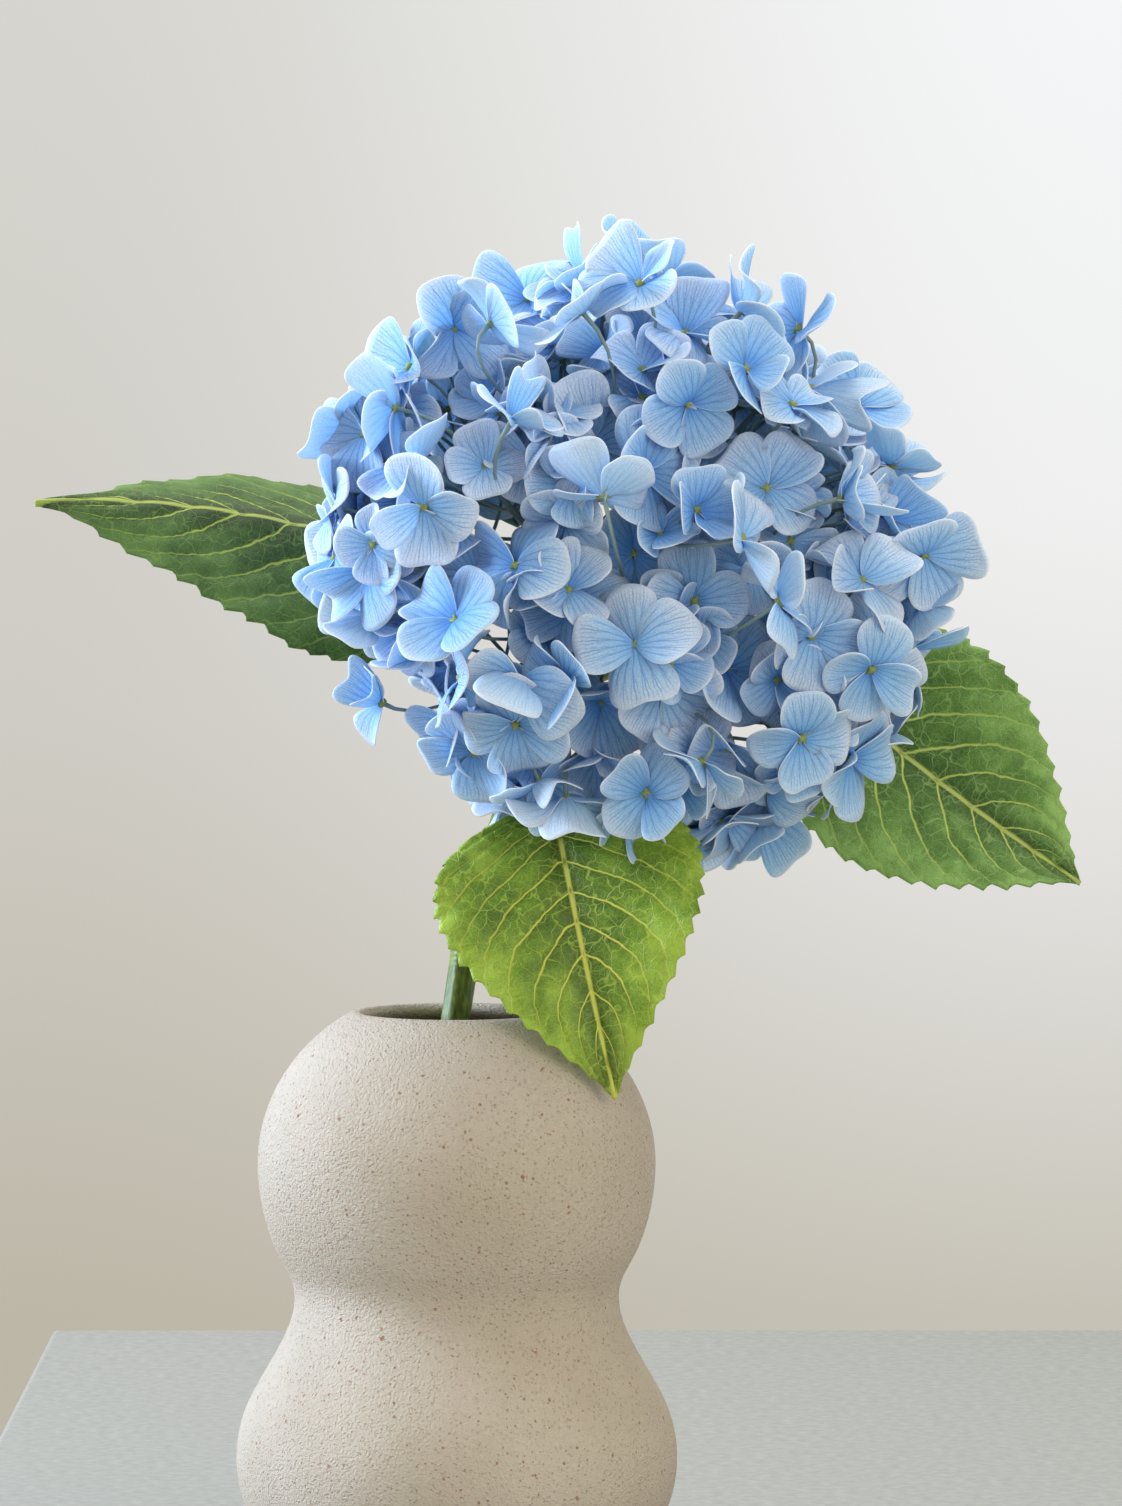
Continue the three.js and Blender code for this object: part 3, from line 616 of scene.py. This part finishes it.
def read_sprig(node):
    """A sprig's fork, and each of its florets: its eye, the way it faces, and its petals' tips."""
    solid = bmesh.new()
    solid.from_mesh(node.data)
    solid.transform(node.matrix_world)
    bmesh.ops.remove_doubles(solid, verts=solid.verts, dist=1e-5)
    hubs = []
    for hub in solid.verts:
        rim = [edge.other_vert(hub).co.copy() for edge in hub.link_edges]
        if len(rim) >= FLORET["rim_sides"] and min((p - hub.co).length for p in rim) > FLORET["rim_clear"]:
            hubs.append((hub.co.copy(), hub.normal.copy(), rim))
    middle = sum((eye for eye, _, _ in hubs), Vector()) / len(hubs)
    nearest = min((v.co for v in solid.verts), key=lambda p: (p - KNOB).length).copy()
    fork = nearest + (middle - nearest).normalized() * 0.0012
    solid.free()
    florets = []
    # A floret has a hub on its face and one on its back: the face's is the further from the fork.
    for eye, normal, rim in sorted(hubs, key=lambda hub: -(hub[0] - fork).length):
        if any((eye - floret["eye"]).length < FLORET["apart"] for floret in florets):
            continue
        faces = normal
        for _ in range(3):
            at = eye - faces * FLORET["eye"]
            tips = max((quarters(at, faces, p, rim) for p in rim),
                       key=lambda four: sum((p - at).length for p in four))
            faces = (tips[0] - tips[2]).cross(tips[1] - tips[3]).normalized()
        florets.append({"at": at, "faces": faces, "tips": tips, "eye": eye})
    return {"fork": fork, "florets": florets}


sprigs = {}
for name in sorted(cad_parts):
    if name.startswith("sprig_"):
        sprigs[name] = read_sprig(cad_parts[name])
        assert len(sprigs[name]["florets"]) in FLORET["per_sprig"], name

# How far a floret may stand out from the others within a cone round it, and from its nearest ones.
GATHER = {"cone": math.radians(38), "usual": 0.55, "proud": 0.002, "most_back": 0.018,
          "nearest": 5, "alone": 0.018, "most_aside": 0.016}


def move(floret, step):
    """Moves a floret, with its eye and petal tips, by a step."""
    for key in ("at", "eye"):
        floret[key] = floret[key] + step
    floret["tips"] = [tip + step for tip in floret["tips"]]


def draw_in(florets):
    """Draws the florets that stand out from their neighbours back towards them."""
    middle = sum((f["at"] for f in florets), Vector()) / len(florets)
    places = [(f["at"] - middle) for f in florets]
    for floret, place in zip(florets, places):
        near = sorted(p.length for p in places if p.angle(place) < GATHER["cone"])
        usual = near[int(len(near) * GATHER["usual"])]
        back = min(max(place.length - usual - GATHER["proud"], 0.0), GATHER["most_back"])
        move(floret, place.normalized() * -back)
    # One that stands alone beside the others is drawn towards its nearest ones.
    for floret in florets:
        close = sorted(florets, key=lambda other: (other["at"] - floret["at"]).length)
        close = close[1:GATHER["nearest"] + 1]
        gap = sum((other["at"] for other in close), Vector()) / len(close) - floret["at"]
        move(floret, gap.normalized() * min(max(gap.length - GATHER["alone"], 0.0), GATHER["most_aside"]))


HIDDEN = {"turned": 60, "wider": (0.95, 1.35), "deeper": (0.007, 0.013), "petal": (0.0115, 0.0145)}


def add_hidden(sprig, chance):
    """Adds the smaller florets that open deeper in, half hidden between a sprig's outer ones."""
    outer = list(sprig["florets"])
    middle = sum((f["at"] for f in outer), Vector()) / len(outer)
    axis = (middle - sprig["fork"]).normalized()
    arms = [(floret["at"] - middle) - axis * (floret["at"] - middle).dot(axis) for floret in outer[:3]]
    if len(outer) == 3:
        arms.append(arms[0] * 0.12)
    for arm in arms:
        arm = Matrix.Rotation(math.radians(HIDDEN["turned"] + chance.uniform(-12, 12)), 3, axis) @ arm
        at = middle + arm * chance.uniform(*HIDDEN["wider"]) - axis * chance.uniform(*HIDDEN["deeper"])
        lean = Vector([chance.gauss(0, 0.30) for _ in range(3)])
        faces = (axis + arm * 14 + lean).normalized()
        turn = faces.orthogonal().normalized()
        turn = Matrix.Rotation(chance.uniform(0, math.tau), 3, faces) @ turn
        side = faces.cross(turn)
        size = chance.uniform(*HIDDEN["petal"])
        cup = chance.uniform(0.10, 0.35)
        tips = [at + (way + faces * cup) * size * chance.uniform(0.92, 1.08)
                for way in (turn, side, -turn, -side)]
        sprig["florets"].append({"at": at, "faces": faces, "tips": tips, "eye": at + faces * FLORET["eye"]})


draw_in([floret for sprig in sprigs.values() for floret in sprig["florets"]])
for name, sprig in sprigs.items():
    add_hidden(sprig, random.Random("hidden " + name))

branch_names = [name for name in sorted(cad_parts) if name.startswith("branch_")]
branch_points = {name: [v.co.copy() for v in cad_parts[name].data.vertices] for name in branch_names}
bears = {name: [] for name in branch_names}
for name, sprig in sprigs.items():
    nearest = min(branch_names, key=lambda b: min((p - sprig["fork"]).length for p in branch_points[b]))
    bears[nearest].append(sprig["fork"])

stalk_green, tree, shader = new_material("dark_green_stalk")
where = add(tree, "TexCoord").outputs["Object"]
tone = add(tree, "TexNoise", {"Vector": where, "Scale": 260.0, "Detail": 2.0})
skin = add(tree, "ValToRGB", {"Fac": tone.outputs["Fac"]}, stops=[(0.35, "#47602a"), (0.65, "#71884a")])
tree.links.new(skin.outputs["Color"], shader.inputs["Base Color"])
shader.inputs["Roughness"].default_value = 0.5


def bow_line(start, end, pull, count):
    """A gently bowed line from start to end: it leaves start straight for it, and bends by pull."""
    handle = start.lerp(end, 0.5) + pull
    return [start * (1 - t) ** 2 + handle * 2 * t * (1 - t) + end * t * t
            for t in (i / count for i in range(count + 1))]


for name in branch_names:
    mean = sum((KNOB + (fork - KNOB) / STALK["sprig_fork_at"] for fork in bears[name]), Vector())
    fork = KNOB.lerp(mean / len(bears[name]), STALK["fork_at"])
    way = (fork - KNOB).normalized()
    root = KNOB + way * (STEM["knob"] - 0.0004)
    points, faces = sweep(bow_line(root, fork, Vector(), 6),
                          lambda share, angle: STALK["base"] * (1.15 - 0.45 * share * (1 - share)), 12)
    for tip in bears[name]:
        end = tip - (tip - fork).normalized() * STALK["end_gap"]
        pull = way * ((end - fork).length * 0.10)
        more, extra = sweep(bow_line(fork - way * 0.0006, end, pull, 8),
                            lambda share, angle: STALK["twig"] * (1.2 - 0.3 * share), 10, len(points))
        points += more
        faces += extra
    branch = new_piece("stalks_" + name.split("_")[1], points, faces)
    bpy.ops.object.shade_smooth()
    branch.data.materials.append(stalk_green)
    finish_piece(branch, name)

# ---- Florets ------------------------------------------------------------------------------------
# Each sprig bears three or four florets on thin stalks, and smaller ones deeper in. A floret is four
# broad, papery petals that overlap like a pinwheel round a small four-pointed olive eye: deep blue
# along the veins, and pale at the rim.

PETAL = {"cells": 10, "thick": 0.0003, "half": 0.57, "length": 0.97}
PEDICEL = {"radius": 0.0006, "sides": 7, "steps": 7}
EYE = {"size": 0.0021, "sides": 8}

deselect()
bpy.ops.mesh.primitive_grid_add(x_subdivisions=PETAL["cells"], y_subdivisions=PETAL["cells"], size=2)
pattern = bpy.context.object
flat = np.array([v.co[:2] for v in pattern.data.vertices])
petal_faces = np.array([p.vertices[:] for p in pattern.data.polygons])
bpy.data.objects.remove(pattern)
disc = flat * np.sqrt(1 - flat[:, ::-1] ** 2 / 2)
edge_share = np.hypot(disc[:, 0], disc[:, 1])
edge_angle = np.arctan2(disc[:, 0], disc[:, 1])


def petal_sheet(form):
    """A petal of length 1 that lies along +Y with its face up, and its flat places for the veins."""
    along = (disc[:, 1] + 1) / 2
    across = disc[:, 0] * form["half"] * (along / 0.62 + 0.01) ** form["claw"]
    across = across + form["skew"] * along * (1 - along)
    tip = disc[:, 1].clip(0, 1) ** 2 * (1 - (across / 0.6) ** 2).clip(0, 1) ** 3
    along = along * (1 + form["point"] * tip)
    flat_place = np.stack([across, along], 1)
    tilt = form["lift"] + form["curl"] * along
    x = across * math.cos(math.atan(form["fold"]) * 0.8)
    y = along * np.cos(tilt)
    z = along * np.sin(tilt)
    z = z + form["fold"] * np.abs(across) ** 1.5 * 1.3 * np.sqrt(along.clip(0, 1)) + form["wheel"] * across
    for count, strength, phase in form["waves"]:
        z = z + strength * edge_share ** 4 * np.sin(count * edge_angle + phase)
    ripples = 0.006 * np.cos(across / (0.30 * along + 0.06) * 6.0) * np.sin(np.pi * along.clip(0, 1))
    return np.stack([x, y, z + ripples], 1), flat_place


def petal_form(chance):
    """How one petal grew: its outline and the way it is cupped, folded, curled and waved."""
    rare = chance.random()
    return {
        "half": PETAL["half"] * chance.uniform(0.9, 1.1),
        "claw": chance.uniform(0.28, 0.5),
        "skew": chance.uniform(-0.12, 0.12),
        "point": chance.choice((-0.10, -0.05, 0.0, 0.04, 0.08)),
        "lift": chance.uniform(-0.10, 0.16) + (chance.uniform(0.4, 0.9) if rare < 0.22 else 0.0),
        "curl": chance.uniform(-0.6, 0.35),
        "fold": chance.uniform(-0.25, 0.65) + (0.5 if 0.2 < rare < 0.4 else 0.0),
        "wheel": chance.uniform(0.06, 0.22),
        "waves": [(chance.choice((2, 3)), chance.uniform(0.02, 0.06), chance.uniform(0, math.tau)),
                  (chance.choice((4, 5, 6)), chance.uniform(0.006, 0.02), chance.uniform(0, math.tau))],
    }


def petal_material(name, colours, vein, vein_share, margin):
    """Papery petal skin: paler from the eye to the rim, with a fan of branching veins."""
    made, tree, shader = new_material(name)
    place = add(tree, "Attribute", attribute_name="flat").outputs["Vector"]
    where = add(tree, "TexCoord").outputs["Object"]
    shake = add(tree, "TexNoise", {"Vector": where, "Scale": 240.0, "Detail": 3.0})
    part = add(tree, "SeparateXYZ", {"Vector": place})
    x, y = part.outputs["X"], part.outputs["Y"]
    spread = add(tree, "Math", {0: y, 1: -0.22, 2: 0.62}, operation="MULTIPLY_ADD").outputs[0]
    spread = add(tree, "Math", {0: y, 1: spread, 2: 0.035}, operation="MULTIPLY_ADD").outputs[0]
    fan = add(tree, "Math", {0: x, 1: spread}, operation="DIVIDE").outputs[0]
    fan = add(tree, "Math", {0: fan, 1: 2.0, 2: 8.0}, operation="MULTIPLY_ADD").outputs[0]
    fan = add(tree, "Math", {0: shake.outputs["Fac"], 1: 0.55, 2: fan}, operation="MULTIPLY_ADD").outputs[0]
    off = add(tree, "Math", {0: fan, 1: 0.5}, operation="PINGPONG").outputs[0]
    parting = add(tree, "MapRange", {"Value": y, "From Min": 0.28, "From Max": 0.8, "To Min": 0.0,
                                     "To Max": 0.33}, interpolation_type="SMOOTHSTEP").outputs[0]
    beside = add(tree, "Math", {0: off, 1: parting}, operation="SUBTRACT").outputs[0]
    beside = add(tree, "Math", {0: beside}, operation="ABSOLUTE").outputs[0]
    width = add(tree, "Math", {0: 0.034, 1: spread}, operation="DIVIDE").outputs[0]
    lines = []
    for distance, strength in ((off, 1.0), (beside, 0.6)):
        line = add(tree, "MapRange", {"Value": distance, "From Min": width, "From Max": 0.0, "To Min": 0.0,
                                      "To Max": strength}, interpolation_type="SMOOTHSTEP")
        lines.append(line.outputs[0])
    mask = add(tree, "Math", {0: lines[0], 1: lines[1]}, operation="MAXIMUM").outputs[0]
    rim = add(tree, "Attribute", attribute_name="edge").outputs["Fac"]
    fading = add(tree, "MapRange", {"Value": rim, "From Min": 0.72, "From Max": 0.98, "To Min": 1.0,
                                    "To Max": 0.0})
    mask = add(tree, "Math", {0: mask, 1: fading.outputs[0]}, operation="MULTIPLY").outputs[0]
    reach = add(tree, "VectorMath", {0: place}, operation="LENGTH").outputs["Value"]
    tint = add(tree, "Attribute", attribute_name="tint").outputs["Fac"]
    reach = add(tree, "Math", {0: tint, 1: 0.16, 2: reach}, operation="MULTIPLY_ADD").outputs[0]
    base = add(tree, "ValToRGB", {"Fac": reach}, stops=[
        (0.04, colours[0]), (1.0, colours[3]), (0.30, colours[1]), (0.68, colours[2])]).outputs["Color"]
    net = add(tree, "TexVoronoi", {"Vector": where, "Scale": 900.0}, feature="DISTANCE_TO_EDGE")
    net = add(tree, "MapRange", {"Value": net.outputs["Distance"], "From Min": 0.16, "From Max": 0.0,
                                 "To Min": 0.0, "To Max": 0.22}).outputs[0]
    base = add(tree, "Mix", {0: net, 6: base, 7: linear(vein)}, data_type="RGBA").outputs[2]
    veins = add(tree, "Math", {0: mask, 1: vein_share}, operation="MULTIPLY").outputs[0]
    base = add(tree, "Mix", {0: veins, 6: base, 7: linear(vein)}, data_type="RGBA").outputs[2]
    border = add(tree, "MapRange", {"Value": rim, "From Min": 0.955, "From Max": 0.995, "To Min": 0.0,
                                    "To Max": 0.5})
    base = add(tree, "Mix", {0: border.outputs[0], 6: base, 7: linear(margin)}, data_type="RGBA").outputs[2]
    tree.links.new(base, shader.inputs["Base Color"])
    shader.inputs["Roughness"].default_value = 0.6
    shader.inputs["Specular IOR Level"].default_value = 0.25
    shader.inputs["Subsurface Weight"].default_value = 0.45
    shader.inputs["Subsurface Radius"].default_value = (0.6, 0.8, 1.0)
    shader.inputs["Subsurface Scale"].default_value = 0.0020
    relief = add(tree, "Bump", {"Height": mask, "Strength": 0.35, "Distance": 0.0003}, invert=True)
    tree.links.new(relief.outputs[0], shader.inputs["Normal"])
    return made


PETAL_SKINS = [
    petal_material("petal_face", ("#629be2", "#8abaee", "#adcff3", "#cfe1f6"), "#3f7bcc", 0.6, "#e0ecf9"),
    petal_material("petal_back", ("#87b4e9", "#9fc4ee", "#b9d5f3", "#cfe1f6"), "#669ada", 0.35, "#e0ecf9"),
    petal_material("petal_rim", ("#c3daf4", "#cfe1f6", "#dae8f8", "#e2edf9"), "#c3daf4", 0.1, "#e2edf9"),
]
pale_stalk, tree, shader = new_material("blue_green_floret_stalk")
shader.inputs["Base Color"].default_value = linear("#7d9690")
shader.inputs["Roughness"].default_value = 0.5
olive, tree, shader = new_material("olive_floret_eye")
shader.inputs["Base Color"].default_value = linear("#8c9a4a")
shader.inputs["Roughness"].default_value = 0.55


def eye_star(floret, size, start):
    """The eye, a low bead with four blunt points: its points and faces, numbered from start."""
    sides = EYE["sides"]
    faces_way = floret["faces"]
    first = (floret["tips"][0] - floret["at"]).normalized()
    first = (first - faces_way * first.dot(faces_way)).normalized()
    side = faces_way.cross(first)
    points, faces = [], []
    for height, even, odd in ((-0.0002, 0.8, 0.6), (0.0005, 1.0, 0.42), (0.0011, 0.55, 0.3)):
        for k in range(sides):
            angle = math.tau * (k + 1) / sides
            reach = size * (even if k % 2 == 0 else odd)
            lift = height + (0.0004 if k % 2 == 0 and height > 0 else 0.0)
            points.append(floret["at"] + (first * math.cos(angle) + side * math.sin(angle)) * reach
                          + faces_way * lift)
    points.append(floret["at"] + faces_way * 0.0013)
    points.append(floret["at"] - faces_way * 0.0006)
    for ring in (0, 1):
        for k in range(sides):
            a, b = start + ring * sides + k, start + ring * sides + (k + 1) % sides
            faces.append((a, b, b + sides, a + sides))
    upper, top, bottom = start + 2 * sides, start + 3 * sides, start + 3 * sides + 1
    for k in range(sides):
        faces.append((upper + k, upper + (k + 1) % sides, top))
        faces.append((start + (k + 1) % sides, start + k, bottom))
    return points, faces


for name, sprig in sprigs.items():
    chance = random.Random(name)
    corners, cells, flats, edges, tints = [], [], [], [], []
    green_points, green_faces, eye_faces = [], [], []
    for floret in sprig["florets"]:
        at, faces_way = floret["at"], floret["faces"]
        floret_tint = chance.uniform(-1, 1)
        cup = sum((tip - at).dot(faces_way) / (tip - at - faces_way * (tip - at).dot(faces_way)).length
                  for tip in floret["tips"]) / 4
        for number, tip in enumerate(floret["tips"]):
            level = (tip - at).dot(faces_way)
            reach = tip - at - faces_way * level
            length = reach.length * PETAL["length"]
            way = reach.normalized()
            side = way.cross(faces_way)
            form = petal_form(chance)
            form["lift"] += math.atan(cup)
            sheet, place = petal_sheet(form)
            base = at + faces_way * (0.0003 if number % 2 else -0.0001)
            axes = np.array([side[:], way[:], faces_way[:]])
            first = sum(len(c) for c in corners)
            corners.append(sheet * length @ axes + np.array(base))
            cells.append(petal_faces + first)
            flats.append(np.column_stack([place, np.zeros(len(place))]))
            edges.append(edge_share)
            tints.append(np.full(len(place), floret_tint + chance.uniform(-0.35, 0.35)))
        run = at - sprig["fork"]
        handle = at - faces_way * run.length * 0.35
        line = [sprig["fork"] * (1 - t) ** 2 + handle * 2 * t * (1 - t) + at * t * t
                for t in (i / PEDICEL["steps"] for i in range(PEDICEL["steps"] + 1))]
        more, extra = sweep(
            line, lambda share, angle: PEDICEL["radius"] * (1 - 0.3 * share + 0.6 * share ** 6),
            PEDICEL["sides"], len(green_points))
        green_points += more
        green_faces += extra
        more, extra = eye_star(floret, EYE["size"] * chance.uniform(0.85, 1.1), len(green_points))
        green_points += more
        eye_faces += extra
    petals = new_piece("florets_" + name.split("_")[1], np.concatenate(corners),
                       np.concatenate(cells).tolist())
    set_values(petals.data, "flat", "FLOAT_VECTOR", np.concatenate(flats))
    set_values(petals.data, "edge", "FLOAT", np.concatenate(edges))
    set_values(petals.data, "tint", "FLOAT", np.concatenate(tints))
    for skin in PETAL_SKINS:
        petals.data.materials.append(skin)
    sheet = petals.modifiers.new("thickness", "SOLIDIFY")
    sheet.thickness = PETAL["thick"]
    sheet.offset = 0
    sheet.material_offset = 1
    sheet.material_offset_rim = 2
    bpy.ops.object.modifier_apply(modifier=sheet.name)
    greens = new_piece("greens", green_points, green_faces + eye_faces)
    greens.data.materials.append(pale_stalk)
    greens.data.materials.append(olive)
    for polygon in greens.data.polygons[len(green_faces):]:
        polygon.material_index = 1
    select_only(petals, greens)
    bpy.ops.object.join()
    bpy.ops.object.shade_smooth()
    finish_piece(petals, name)
